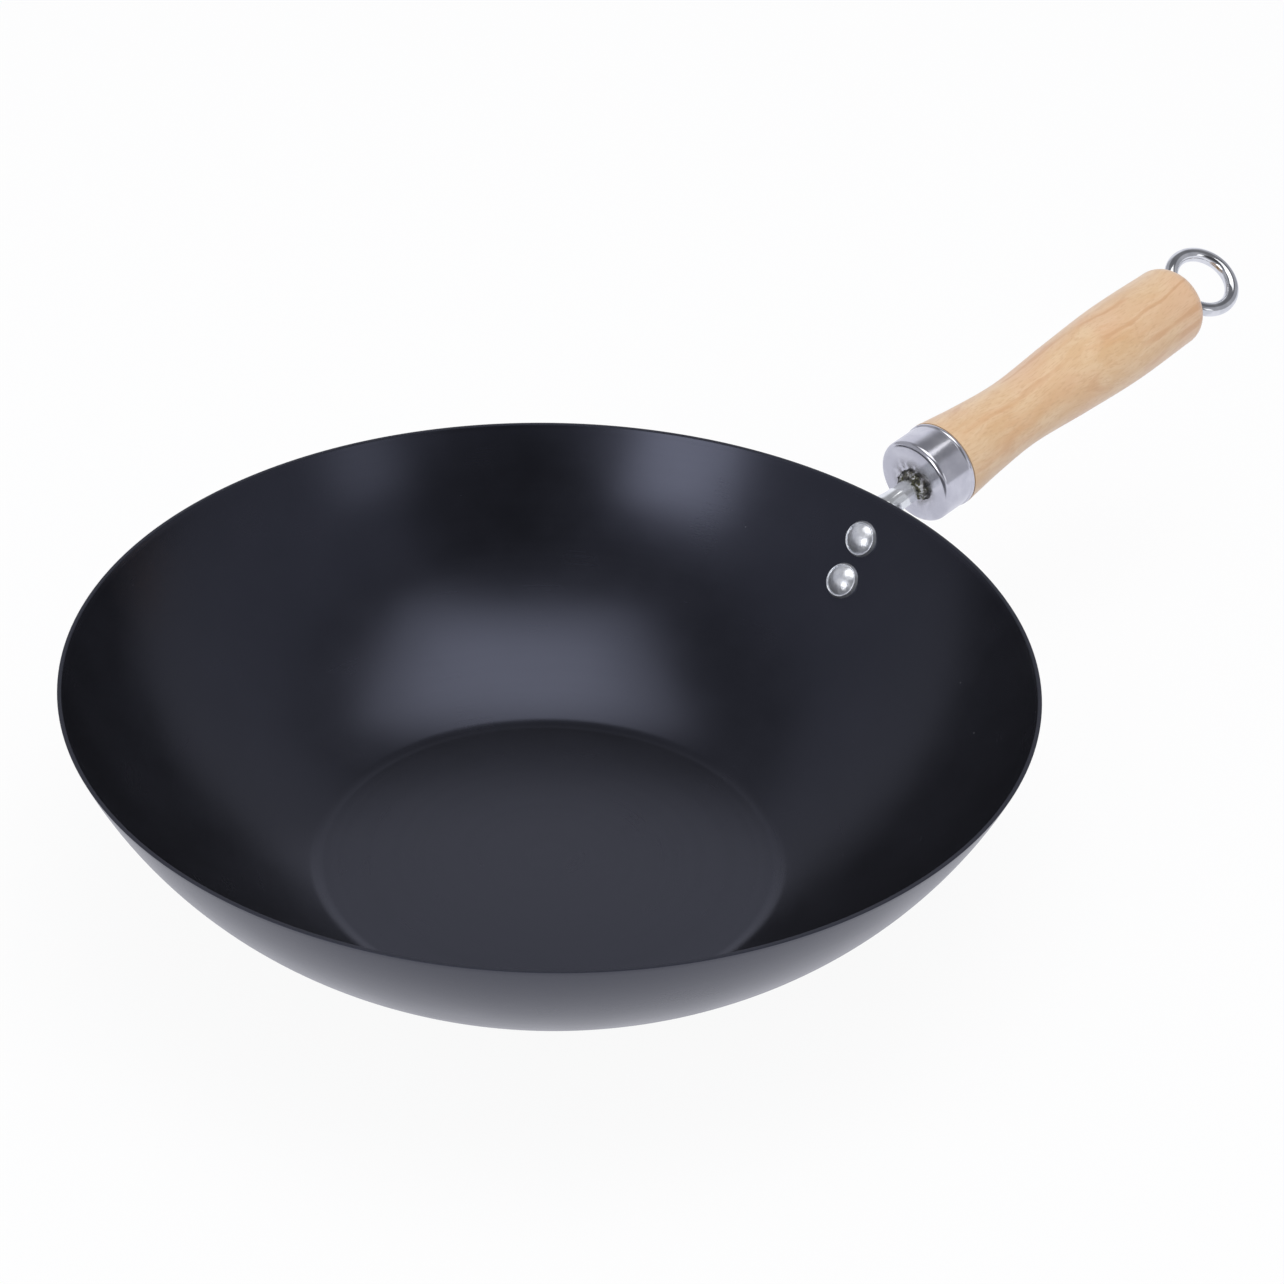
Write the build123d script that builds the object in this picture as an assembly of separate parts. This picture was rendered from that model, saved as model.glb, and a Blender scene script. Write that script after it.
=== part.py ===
from build123d import *
import os
from math import acos, atan2, ceil, cos, degrees, radians, sin, sqrt

os.makedirs("parts", exist_ok=True)

# A flat-bottomed carbon steel wok with one long wooden handle, in millimetres with +Z up.
# The origin is the centre of the base's underside, and the handle points along +X.

# Bowl
wok_diameter = 300.0        # across the rim, outside
wok_depth = 74.3            # underside of the base to the rim
base_diameter = 142.0       # flat part of the underside
knee_radius = 15.0          # outer bend between base and wall
wall_start_slope = 22.0     # degrees from level, where the wall leaves the knee
sheet = 1.2                 # pressed steel sheet
rim_rounding = 0.3          # broken edges of the cut rim

# Handle line, which runs out through the middle of ferrule, grip and bolt
rim_to_ferrule = 17.5       # rim to the middle of the ferrule's front face, measured level
ferrule_drop = 1.6          # the same point below the rim
handle_rise = 8.3           # degrees above level

# Rivets
rivet_depth = 14.0          # upper rivet's centre below the rim
rivet_pitch = 15.5          # between the two rivets, along the wall
rivet_shank = 6.0
rivet_slip = 0.05           # hole beyond the shank, all round
rivet_head = 12.2           # domed head inside the bowl
rivet_head_edge = 1.1       # straight side of the head
rivet_head_crown = 2.0      # dome above the straight side
rivet_tail = 10.0           # closed end outside, on the tang
rivet_tail_edge = 0.7
rivet_tail_crown = 1.6

# Tang, the pressed steel arm between bowl and ferrule
tang_sheet = 1.8
pad_width = 24.0            # flat of the tang that is riveted to the wall
pad_margin = 10.0           # pad below the lower rivet's centre
pad_corner = 8.0
shoulder_width = 16.0       # width where the flat pad starts to turn into a channel
neck_width = 8.4            # channel that shows between rim and ferrule
neck_depth = 5.6
neck_drop = 1.9             # middle of the neck's arch below the handle line
flare_on_wall = 4.0         # the pad starts to turn into the channel this far before the bend
flare_on_neck = 5.0         # and is done this far beyond it
flare_steps = 24            # flat-sided steps that form this flare
bend_inside = 0.9           # radius left under the channel's lower edges where the arm bends

# Weld between tang and ferrule
weld_bead = 2.1             # radius of one bead
weld_pitch = 2.7            # from bead to bead, at most

# Ferrule, a drawn cup with a rolled lip
ferrule_diameter = 30.1
ferrule_length = 13.8
ferrule_wall = 0.9
ferrule_corner = 1.7        # outer rounding between face and side
lip_swell = 0.4             # the rolled lip stands out this far
lip_length = 1.8

# Ring bolt and its nut
wire = 5.0                  # the bolt and its eye are one round wire
eye_radius = 11.8           # to the middle of the wire
eye_reach = 13.9            # grip's end to the middle of the eye
eye_offset = 0.5            # the bent eye sits this far to one side of the bolt
eye_bend = 4.0              # bend between bolt and eye, to the middle of the wire
eye_gap = 0.4               # between the eye's cut end and the bolt
eye_turn = 30.0             # degrees that the eye is turned from level about the handle line
bolt_end_gap = 0.6          # bolt's end to the inside of the ferrule's face
bolt_end_chamfer = 0.6
nut_flats = 8.0
nut_height = 4.0
nut_chamfer = 0.5
nut_slip = 0.06             # running clearance of the bolt in the nut, all round

# Wooden grip
grip_length = 127.8         # ferrule to the end
grip_waist_radius = 12.4
grip_belly_radius = 15.2
grip_end_radius = 14.7
grip_end_rounding = 7.0
waist_share = 0.30          # places along the grip
belly_share = 0.72
halfway_to_waist_share = 0.66   # of the fall in radius, halfway between ferrule and waist
halfway_to_belly_share = 0.56   # of the rise in radius, halfway between waist and belly
tenon_slip = 0.1            # tenon inside the ferrule, all round
tenon_gap = 0.6             # tenon's end to the nut
bore_slip = 0.35            # the bolt's hole beyond the bolt, all round
bore_countersink = 1.5

overrun = 1.0               # cuts run past a face by this

rim_radius = wok_diameter / 2
base_radius = base_diameter / 2


def turned(outline):
    """Revolve a closed outline, drawn as (radius, height), about Z."""
    return revolve(Plane.XZ * make_face(outline), Axis.Z)


def between(share, first, last):
    return first + share * (last - first)


# Bowl: pressed from a disc of sheet and trimmed level at the rim.
# The wall is one arc that starts tangent to the knee and ends at the rim.
def knee_point(slope, inset):
    r = knee_radius - inset
    return (base_radius + r * sin(radians(slope)), knee_radius - r * cos(radians(slope)))


wall_start = radians(wall_start_slope)
wall_start_r, wall_start_z = knee_point(wall_start_slope, 0)
run = rim_radius - wall_start_r
climb = wok_depth - wall_start_z
wall_radius = (run ** 2 + climb ** 2) / (2 * (climb * cos(wall_start) - run * sin(wall_start)))
wall_centre_r = wall_start_r - wall_radius * sin(wall_start)
wall_centre_z = wall_start_z + wall_radius * cos(wall_start)


def wall_point(slope, inset):
    r = wall_radius - inset
    return (wall_centre_r + r * sin(radians(slope)), wall_centre_z - r * cos(radians(slope)))


def slope_at(height, inset):
    return degrees(acos((wall_centre_z - height) / (wall_radius - inset)))


def arc_along(point_at, start, end, inset):
    return ThreePointArc(*[point_at(between(share, start, end), inset) for share in (0, 0.5, 1)])


def filled_bowl(inset):
    """The bowl up to its rim as a solid, with base and wall drawn in by inset."""
    rim_slope = slope_at(wok_depth, inset)
    knee = arc_along(knee_point, 0, wall_start_slope, inset)
    wall = arc_along(wall_point, wall_start_slope, rim_slope, inset)
    closing = Polyline(wall @ 1, (0, wok_depth), (0, inset), knee @ 0)
    return turned(knee + wall + closing)


def along_wall(slope):
    """A plane on the wall's outside: local X is the width, local Z points into the bowl."""
    r, z = wall_point(slope, 0)
    inward = (-sin(radians(slope)), 0, cos(radians(slope)))
    return Plane(origin=(r, 0, z), x_dir=(0, 1, 0), z_dir=inward)


upper_slope = slope_at(wok_depth - rivet_depth, 0)
lower_slope = upper_slope - degrees(rivet_pitch / wall_radius)
rivet_planes = {"upper_rivet": along_wall(upper_slope), "lower_rivet": along_wall(lower_slope)}
rivet_hole = Cylinder(rivet_shank / 2 + rivet_slip, 2 * (sheet + tang_sheet + overrun))
rivet_holes = [plane * rivet_hole for plane in rivet_planes.values()]

bowl = filled_bowl(0) - filled_bowl(sheet)
rim_edges = bowl.edges().filter_by(GeomType.CIRCLE).group_by(Axis.Z)[-1]
bowl = fillet(rim_edges, rim_rounding) - rivet_holes

# Handle line: local Z runs out along it, and local X points up
rise = radians(handle_rise)
handle = Plane(
    origin=(rim_radius + rim_to_ferrule, 0, wok_depth - ferrule_drop),
    x_dir=(-sin(rise), 0, cos(rise)),
    z_dir=(cos(rise), 0, sin(rise)),
)

# Tang: a pad that lies on the wall narrows, bends off it and becomes an arched channel, open below.
# Its crown line is the wall's outside, then an arc that touches both the wall and the neck's
# straight crown over the handle line: (ahead, below) is the arc's line of centres from the wall's.
neck_crown = neck_width / 2
neck_top = neck_crown - neck_drop
end_x = handle.origin.X - neck_top * sin(rise)
end_z = handle.origin.Z + neck_top * cos(rise)
bend_radius = neck_depth + bend_inside
out_x = end_x + bend_radius * sin(rise) - wall_centre_r
out_z = end_z - bend_radius * cos(rise) - wall_centre_z
ahead = out_x * cos(rise) + out_z * sin(rise)
below = out_x * sin(rise) - out_z * cos(rise)
straight = ahead - sqrt((wall_radius + bend_radius) ** 2 - below ** 2)
bend_x = end_x + bend_radius * sin(rise) - straight * cos(rise)
bend_z = end_z - bend_radius * cos(rise) - straight * sin(rise)
leave = atan2(bend_x - wall_centre_r, wall_centre_z - bend_z)
leave_slope = degrees(leave)
bend_length = bend_radius * (leave - rise)
flare_length = flare_on_wall + bend_length + flare_on_neck


def crown_place(distance):
    """A plane square to the crown line, this far up from the pad: X is the width, -Y is below."""
    past_wall = distance - flare_on_wall
    past_bend = past_wall - bend_length
    if past_wall < 0:
        slope = leave + past_wall / wall_radius
        x, z = wall_point(degrees(slope), 0)
    else:
        slope = max(leave - past_wall / bend_radius, rise)
        x = bend_x - bend_radius * sin(slope) + max(past_bend, 0) * cos(rise)
        z = bend_z + bend_radius * cos(slope) + max(past_bend, 0) * sin(rise)
    return Plane(origin=(x, 0, z), x_dir=(0, 1, 0), z_dir=(cos(slope), 0, sin(slope)))


def channel(share, skin, overcut):
    """The arm's filled section, from the pad's at share 0 to the neck's at 1, thinner by skin."""
    half = between(share, shoulder_width, neck_width) / 2 - skin
    crown = between(share, tang_sheet / 20, neck_crown - skin)
    depth = between(share, tang_sheet, neck_depth) - skin + overcut
    top = ThreePointArc((-half, -crown), (0, 0), (half, -crown))
    sides = Polyline((half, -crown), (half, -depth), (-half, -depth), (-half, -crown))
    return Pos(0, -skin) * make_face(top + sides)


def arm(first_step, skin, past_end):
    """The arm from one step of its flare to the ferrule, or the hollow under its skin."""
    sections = []
    for step in range(first_step, flare_steps + 1):
        way = step / flare_steps
        share = way * way * (3 - 2 * way)
        overcut = between(share, tang_sheet, bend_inside) / 2 if skin else 0
        sections.append(crown_place(way * flare_length) * channel(share, skin, overcut))
    end = crown_place(flare_on_wall + bend_length + straight + past_end)
    sections.append(end * channel(1, skin, overcut))
    return loft(sections, ruled=True)


# The pad is a piece of a shell that fits the wall, cut to a tongue with a rounded end
pad_high_slope = leave_slope - degrees(flare_on_wall / wall_radius)
pad_low_slope = lower_slope - degrees(pad_margin / wall_radius)
pad_plane = along_wall((pad_low_slope + pad_high_slope) / 2)
pad_low = wall_radius * radians(pad_high_slope - pad_low_slope) / 2
pad_wide = pad_low - pad_margin
pad_top = pad_low + tang_sheet / 2
pad_outline = make_face(Polyline(
    (-shoulder_width / 2, -pad_top),
    (shoulder_width / 2, -pad_top),
    (shoulder_width / 2, -pad_low),
    (pad_width / 2, pad_wide),
    (pad_width / 2, pad_low),
    (-pad_width / 2, pad_low),
    (-pad_width / 2, pad_wide),
    (-shoulder_width / 2, -pad_low),
    close=True,
))
pad_outline = fillet(pad_outline.vertices().group_by(Axis.Y)[-1], pad_corner)
shell = filled_bowl(-tang_sheet) - filled_bowl(0)
pad = shell & (pad_plane * extrude(pad_outline, 2 * pad_corner, both=True))

filled_arm = arm(0, 0, 0)
hollow = arm(1, tang_sheet, overrun)
tang_bracket = pad + filled_arm - hollow - rivet_holes

# Rivets: local Z points into the bowl, where the domed heads are; the tails close on the pad
head_r = rivet_head / 2
head_top = sheet + rivet_head_edge
tail_r = rivet_tail / 2
tail_low = -tang_sheet - rivet_tail_edge


def dome(radius, level, height):
    """The arc from a rim to the top of a shallow dome on the axis."""
    bulge = (radius ** 2 + height ** 2) / (2 * abs(height))
    half = atan2(radius, bulge - abs(height)) / 2
    sign = 1 if height > 0 else -1
    middle = (bulge * sin(half), level + height - sign * bulge * (1 - cos(half)))
    return ThreePointArc((radius, level), middle, (0, level + height))


rivet_outline = (
    dome(tail_r, tail_low, -rivet_tail_crown)
    + Polyline((tail_r, tail_low), (tail_r, -tang_sheet), (rivet_shank / 2, -tang_sheet),
               (rivet_shank / 2, sheet), (head_r, sheet), (head_r, head_top))
    + dome(head_r, head_top, rivet_head_crown)
    + Line((0, head_top + rivet_head_crown), (0, tail_low - rivet_tail_crown))
)
rivet = turned(rivet_outline)

# Ferrule: a drawn cup, closed towards the bowl, with a rolled lip where the grip starts
ferrule_r = ferrule_diameter / 2
inside_r = ferrule_r - ferrule_wall
inside_corner = ferrule_corner - ferrule_wall
lip_r = ferrule_r + lip_swell


def quarter(centre, radius, start):
    return CenterArc(centre, radius, start, 90)


ferrule_outline = (
    Line((0, 0), (ferrule_r - ferrule_corner, 0))
    + quarter((ferrule_r - ferrule_corner, ferrule_corner), ferrule_corner, -90)
    + Line((ferrule_r, ferrule_corner), (ferrule_r, ferrule_length - lip_length))
    + ThreePointArc((ferrule_r, ferrule_length - lip_length), (lip_r, ferrule_length - lip_length / 2),
                    (ferrule_r, ferrule_length))
    + Polyline((ferrule_r, ferrule_length), (inside_r, ferrule_length), (inside_r, ferrule_corner))
    + quarter((inside_r - inside_corner, ferrule_corner), inside_corner, -90)
    + Polyline((inside_r - inside_corner, ferrule_wall), (0, ferrule_wall), (0, 0))
)
ferrule = turned(ferrule_outline)

# Weld: a row of beads up one side of the neck, over its crown and down the other, against the ferrule
side = neck_depth - neck_crown
arch = neck_crown * radians(180)
bead_count = ceil((arch + 2 * side) / weld_pitch) + 1


def bead_place(distance):
    """A point on the neck's outside, as (up, sideways) from the middle of its arch."""
    if distance < side:
        return (distance - side, -neck_crown)
    if distance > side + arch:
        return (side + arch - distance, neck_crown)
    turn = (distance - side) / neck_crown
    return (neck_crown * sin(turn), -neck_crown * cos(turn))


beads = []
for index in range(bead_count):
    up, sideways = bead_place(index * (arch + 2 * side) / (bead_count - 1))
    beads.append(Pos(up - neck_drop, sideways, -weld_bead / 4) * Sphere(weld_bead))
weld_row = beads[0].fuse(*beads[1:])
ferrule_space = Pos(0, 0, ferrule_length / 2) * Cylinder(ferrule_r, ferrule_length)
tang_weld = handle * (weld_row - ferrule_space) - filled_arm

# Nut: welded inside the ferrule's face; the ring bolt screws into it
bolt_r = wire / 2
nut_corner = nut_flats / 2 / cos(radians(30))
nut_blank = turned(Polyline(
    (0, 0), (nut_flats / 2, 0), (nut_corner, nut_chamfer), (nut_corner, nut_height - nut_chamfer),
    (nut_flats / 2, nut_height), (0, nut_height), close=True,
))
hexagon = RegularPolygon(nut_flats / 2, 6, major_radius=False)
nut = nut_blank & extrude(hexagon, nut_height)
nut = nut - Cylinder(bolt_r + nut_slip, 2 * (nut_height + overrun))
ferrule_nut = Pos(0, 0, ferrule_wall) * nut

# Grip: turned from one billet, with a tenon in the ferrule and the bolt's hole from end to end
bore_r = bolt_r + bore_slip
tenon_r = inside_r - tenon_slip
tenon_start = ferrule_wall + nut_height + tenon_gap
grip_end = ferrule_length + grip_length


def along_grip(share):
    return ferrule_length + share * grip_length


grip_line = Spline(
    (lip_r, ferrule_length),
    (between(halfway_to_waist_share, lip_r, grip_waist_radius), along_grip(waist_share / 2)),
    (grip_waist_radius, along_grip(waist_share)),
    (
        between(halfway_to_belly_share, grip_waist_radius, grip_belly_radius),
        along_grip((waist_share + belly_share) / 2),
    ),
    (grip_belly_radius, along_grip(belly_share)),
    (grip_end_radius, grip_end - grip_end_rounding),
)
grip_outline = (
    grip_line
    + quarter((grip_end_radius - grip_end_rounding, grip_end - grip_end_rounding), grip_end_rounding, 0)
    + Polyline(
        (grip_end_radius - grip_end_rounding, grip_end),
        (bore_r + bore_countersink, grip_end),
        (bore_r, grip_end - bore_countersink),
        (bore_r, tenon_start),
        (tenon_r, tenon_start),
        (tenon_r, ferrule_length),
        (lip_r, ferrule_length),
    )
)
grip = turned(grip_outline)

# Ring bolt: one wire, straight through the grip, bent aside and round into an eye.
# It is drawn as (sideways, along the handle line) and then turned about that line.
eye_centre = (-eye_offset, grip_end + eye_reach)
bend_to_eye = eye_bend + eye_radius
bolt_bend_start = eye_centre[1] - sqrt(bend_to_eye ** 2 - (eye_bend + eye_offset) ** 2)
bend_centre = (eye_bend, bolt_bend_start)
heading = degrees(atan2(eye_centre[1] - bend_centre[1], eye_centre[0] - bend_centre[0]))
end_reach = eye_bend + wire + eye_gap
open_angle = degrees(acos(
    (bend_to_eye ** 2 + eye_radius ** 2 - end_reach ** 2) / (2 * bend_to_eye * eye_radius)
))
bolt_start = ferrule_wall + bolt_end_gap
bolt_line = Plane.XZ * (
    Line((0, bolt_start), (0, bolt_bend_start))
    + CenterArc(bend_centre, eye_bend, 180, heading - 180)
    + CenterArc(eye_centre, eye_radius, heading - 180, 360 - open_angle)
)
ring_bolt = sweep(Pos(0, 0, bolt_start) * Circle(bolt_r), path=bolt_line)
bolt_end = ring_bolt.edges().filter_by(GeomType.CIRCLE).sort_by(Axis.Z)[0]
ring_bolt = Rot(0, 0, eye_turn - 90) * chamfer(bolt_end, bolt_end_chamfer)

parts = {
    "bowl": bowl,
    "tang_bracket": tang_bracket,
    "tang_weld": tang_weld,
    "ferrule": handle * ferrule,
    "ferrule_nut": handle * ferrule_nut,
    "grip": handle * grip,
    "ring_bolt": handle * ring_bolt,
}
for name, plane in rivet_planes.items():
    parts[name] = plane * rivet - bowl

for name, solid in parts.items():
    export_step(solid, f"parts/{name}.step")
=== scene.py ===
from math import acos, atan2, ceil, cos, pi, radians, sin, sqrt, tan

import bmesh
import bpy
from mathutils import Color, Matrix, Quaternion, Vector


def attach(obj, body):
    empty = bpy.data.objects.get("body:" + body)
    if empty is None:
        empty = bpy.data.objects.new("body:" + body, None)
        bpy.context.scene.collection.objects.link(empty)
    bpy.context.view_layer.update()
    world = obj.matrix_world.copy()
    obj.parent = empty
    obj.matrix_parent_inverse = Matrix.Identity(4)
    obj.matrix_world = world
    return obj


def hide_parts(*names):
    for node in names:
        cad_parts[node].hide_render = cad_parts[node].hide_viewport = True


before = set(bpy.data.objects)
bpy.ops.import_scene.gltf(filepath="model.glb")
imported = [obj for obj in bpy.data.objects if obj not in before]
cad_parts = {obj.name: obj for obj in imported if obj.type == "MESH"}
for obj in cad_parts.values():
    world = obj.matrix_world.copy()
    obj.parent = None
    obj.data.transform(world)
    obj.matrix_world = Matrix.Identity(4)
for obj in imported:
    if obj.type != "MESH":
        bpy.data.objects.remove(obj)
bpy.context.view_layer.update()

# Bowl: one disc of carbon steel sheet, pressed to a flat base, a tight knee and one sweeping wall,
# and trimmed level at the rim. A satin black coating is baked on inside and outside, and it is
# matt and a little paler on the trimmed edge.
MM = 0.001
wok_diameter = 300 * MM
wok_depth = 74.3 * MM
base_diameter = 142 * MM
knee_radius = 15 * MM
wall_start = radians(22)
sheet = 1.2 * MM
rim_rounding = 0.3 * MM
knee_steps = 10
wall_steps = 44
base_rings = 6
bowl_steps = 256
crease_angle = radians(35)
merge_distance = 0.001 * MM
spin_mark = 0.9 * MM
coating_cloud = 22 * MM
coating_grain = 0.35 * MM
coating_relief = 0.003 * MM
dust_spacing = 17 * MM
dust_radius_shares = (0.010, 0.017)
edge_fade_start = 0.45 * MM
edge_fade_end = 0.15 * MM


class Value:
    """A number or vector on its way through a node tree. Arithmetic on it adds Math nodes."""

    def __init__(self, nodes, socket):
        self.nodes = nodes
        self.socket = socket

    def maths(self, operation, *values):
        return self.nodes.node("ShaderNodeMath", {"operation": operation}, dict(enumerate(values)))

    def __add__(self, other):
        return self.maths("ADD", self, other)

    def __sub__(self, other):
        return self.maths("SUBTRACT", self, other)

    def __rsub__(self, other):
        return self.maths("SUBTRACT", other, self)

    def __mul__(self, other):
        return self.maths("MULTIPLY", self, other)

    def __truediv__(self, other):
        return self.maths("DIVIDE", self, other)

    def __pow__(self, other):
        return self.maths("POWER", self, other)

    __radd__ = __add__
    __rmul__ = __mul__

    def rise(self, low, high):
        """A mask that climbs smoothly from 0 at low to 1 at high."""
        settings = {"interpolation_type": "SMOOTHSTEP"}
        return self.nodes.node("ShaderNodeMapRange", settings, {0: self, 1: low, 2: high})


class Nodes:
    """A node tree of a finish or of a shape, to which nodes are added one by one."""

    def __init__(self, tree):
        self.tree = tree

    def node(self, kind, settings=None, sockets=None, output=0):
        """Adds a node: its settings first, then the values or links of its sockets."""
        made = self.tree.nodes.new(kind)
        for name, value in (settings or {}).items():
            setattr(made, name, value)
        for key, value in (sockets or {}).items():
            self.feed(made.inputs[key], value)
        return Value(self, made.outputs[output]) if made.outputs else made

    def feed(self, socket, value):
        if isinstance(value, Value):
            self.tree.links.new(value.socket, socket)
        else:
            socket.default_value = value


class Finish(Nodes):
    """A material with one shader. What is the same all over is set on the shader itself."""

    def __init__(self, name, constants):
        self.material = bpy.data.materials.new(name)
        self.material.use_nodes = True
        super().__init__(self.material.node_tree)
        self.shader = self.tree.nodes["Principled BSDF"]
        self.place = self.node("ShaderNodeTexCoord", output="Object")
        self.set(constants)

    def set(self, sockets):
        for name, value in sockets.items():
            self.feed(self.shader.inputs[name], value)

    def moved(self, location=(0, 0, 0), rotation=(0, 0, 0), scale=(1, 1, 1)):
        """Object coordinates, moved, turned and stretched to suit a pattern."""
        settings = {"vector_type": "TEXTURE"}
        return self.node("ShaderNodeMapping", settings, {0: self.place, 1: location, 2: rotation, 3: scale})

    def noise(self, size, detail=3.0, place=None, roughness=0.5):
        """Cloudy noise with clouds of this size."""
        sockets = {"Vector": place or self.place, "Scale": 1 / size, "Detail": detail, "Roughness": roughness}
        return self.node("ShaderNodeTexNoise", {}, sockets)

    def blend(self, mask, first, second):
        """The first colour where the mask is 0, and the second where it is 1."""
        return self.node("ShaderNodeMix", {"data_type": "RGBA"}, {0: mask, 6: first, 7: second}, output=2)

    def bump(self, height, distance, strength=1.0):
        """A normal from a height that varies between 0 and 1 over this distance."""
        return self.node("ShaderNodeBump", {}, {"Strength": strength, "Distance": distance, "Height": height})


def tone(*levels):
    """A colour written as a screen shows it, from 0 to 255, in the shader's own linear values."""
    linear = Color([level / 255 for level in levels]).from_srgb_to_scene_linear()
    return (*linear, 1.0)


def parts_of(finish, place):
    """The X, Y and Z of a vector."""
    return [finish.node("ShaderNodeSeparateXYZ", {}, {0: place}, output=axis) for axis in range(3)]


def arc(centre, radius, start, end, steps):
    """Points along an arc as (out, up), by angles from straight down towards straight out."""
    angles = [start + (end - start) * step / steps for step in range(steps + 1)]
    return [(centre[0] + radius * sin(angle), centre[1] - radius * cos(angle), 0) for angle in angles]


def rounded(corners, steps=5):
    """The points of an outline whose corners are (out, up, radius). A radius of 0 leaves a point."""
    points = []
    for index, (out, up, radius) in enumerate(corners):
        corner = Vector((out, up))
        if radius == 0:
            points.append(corner)
            continue
        before = (Vector(corners[index - 1][:2]) - corner).normalized()
        after = (Vector(corners[index + 1][:2]) - corner).normalized()
        half = before.angle(after) / 2
        middle = corner + (before + after).normalized() * radius / sin(half)
        first = corner + before * radius / tan(half) - middle
        last = corner + after * radius / tan(half) - middle
        points += [middle + first.lerp(last, step / steps).normalized() * radius for step in range(steps + 1)]
    return points


def shape_tree(name, inputs):
    """An empty tree for a shape, with its named inputs: returns its nodes and those inputs."""
    tree = bpy.data.node_groups.new(name, "GeometryNodeTree")
    nodes = Nodes(tree)
    tree.interface.new_socket("Geometry", in_out="INPUT", socket_type="NodeSocketGeometry")
    tree.interface.new_socket("Geometry", in_out="OUTPUT", socket_type="NodeSocketGeometry")
    for label, kind in inputs.items():
        tree.interface.new_socket(label, in_out="INPUT", socket_type="NodeSocket" + kind)
    group = tree.nodes.new("NodeGroupInput")
    return nodes, {socket.name: Value(nodes, socket) for socket in group.outputs if socket.name}


def end_tree(nodes, shape, material):
    """Closes a shape's tree: one real mesh, smooth, in one material."""
    shape = nodes.node("GeometryNodeRealizeInstances", {}, {0: shape})
    shape = nodes.node("GeometryNodeSetShadeSmooth", {}, {0: shape})
    shape = nodes.node("GeometryNodeSetMaterial", {}, {"Geometry": shape, "Material": material})
    nodes.node("NodeGroupOutput", {}, {0: shape})
    return nodes.tree


def cloud(name, points, edges=()):
    """A mesh of bare points, which a tree takes as its start."""
    mesh = bpy.data.meshes.new(name)
    mesh.from_pydata(points, edges, [])
    return mesh


def grown(tree, name, mesh, values, place=Matrix(), crease=crease_angle):
    """A plain piece: what a tree makes of a mesh, moved to its place."""
    piece = bpy.data.objects.new(name, mesh)
    bpy.context.scene.collection.objects.link(piece)
    modifier = piece.modifiers.new(name, "NODES")
    modifier.node_group = tree
    for item in tree.interface.items_tree:
        if item.in_out == "INPUT" and item.name in values:
            modifier[item.identifier] = values[item.name]
    evaluated = bpy.context.evaluated_depsgraph_get()
    plain = bpy.data.meshes.new_from_object(piece.evaluated_get(evaluated), depsgraph=evaluated)
    piece.modifiers.clear()
    piece.data = plain
    plain.transform(place)
    plain.set_sharp_from_angle(angle=crease)
    return piece


def fit(piece, body, nodes):
    """The piece rides on its body and stands for the nodes of the frame that it was made from."""
    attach(piece, body)
    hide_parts(*nodes)


def turning_tree():
    """Turns an outline, given as points in the XZ plane, about the Z axis."""
    nodes, given = shape_tree("turned outline", {"Steps": "Int", "Material": "Material"})
    outline = given["Geometry"]
    count = nodes.node("GeometryNodeAttributeDomainSize", {}, {0: outline})
    around = given["Steps"] + 1
    skin = nodes.node("GeometryNodeMeshGrid", {}, {"Vertices X": around, "Vertices Y": count})
    index = nodes.node("GeometryNodeInputIndex")
    settings = {"data_type": "FLOAT_VECTOR"}
    position = nodes.node("GeometryNodeInputPosition")
    sockets = {"Geometry": outline, "Value": position, "Index": index.maths("FLOORED_MODULO", index, count)}
    point = nodes.node("GeometryNodeSampleIndex", settings, sockets)
    turn = index.maths("FLOOR", index / count) / given["Steps"] * (2 * pi)
    sockets = {"Vector": point, "Angle": turn}
    point = nodes.node("ShaderNodeVectorRotate", {"rotation_type": "Z_AXIS"}, sockets)
    skin = nodes.node("GeometryNodeSetPosition", {}, {"Geometry": skin, "Position": point})
    skin = nodes.node("GeometryNodeMergeByDistance", {}, {"Geometry": skin, "Distance": merge_distance})
    return end_tree(nodes, skin, given["Material"])


turned = turning_tree()


def turn_piece(name, outline, steps, material, place=Matrix()):
    """A piece that is round about its own Z axis, from its outline as points (out, up)."""
    mesh = cloud(name, [(point[0], 0, point[1]) for point in outline])
    return grown(turned, name, mesh, {"Steps": steps, "Material": material}, place)


rim_radius = wok_diameter / 2
base_radius = base_diameter / 2
wall_start_r = base_radius + knee_radius * sin(wall_start)
wall_start_z = knee_radius - knee_radius * cos(wall_start)
run = rim_radius - wall_start_r
climb = wok_depth - wall_start_z
wall_radius = (run ** 2 + climb ** 2) / (2 * (climb * cos(wall_start) - run * sin(wall_start)))
wall_centre = (wall_start_r - wall_radius * sin(wall_start), wall_start_z + wall_radius * cos(wall_start))


def slope_at(height, inset=0):
    """The wall's slope at a height: 0 is level, and a quarter turn is upright."""
    return acos((wall_centre[1] - height) / (wall_radius - inset))


def on_wall(slope):
    """The point of the wall's outside over +X that has this slope."""
    return Vector((wall_centre[0] + wall_radius * sin(slope), 0, wall_centre[1] - wall_radius * cos(slope)))


def bowl_side(inset):
    """The knee and the wall on one side of the sheet, from the base up to the rim."""
    knee = arc((base_radius, knee_radius), knee_radius - inset, 0, wall_start, knee_steps)
    wall = arc(wall_centre, wall_radius - inset, wall_start, slope_at(wok_depth, inset), wall_steps)
    return knee + wall[1:]


def flat_rings(level):
    """Points from the middle of the base to the start of the knee."""
    return [(base_radius * ring / base_rings, level, 0) for ring in range(base_rings)]


outside = flat_rings(0) + bowl_side(0)
inside = flat_rings(sheet) + bowl_side(sheet)
outside[-1] = (*outside[-1][:2], rim_rounding)
inside[-1] = (*inside[-1][:2], rim_rounding)

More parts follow.
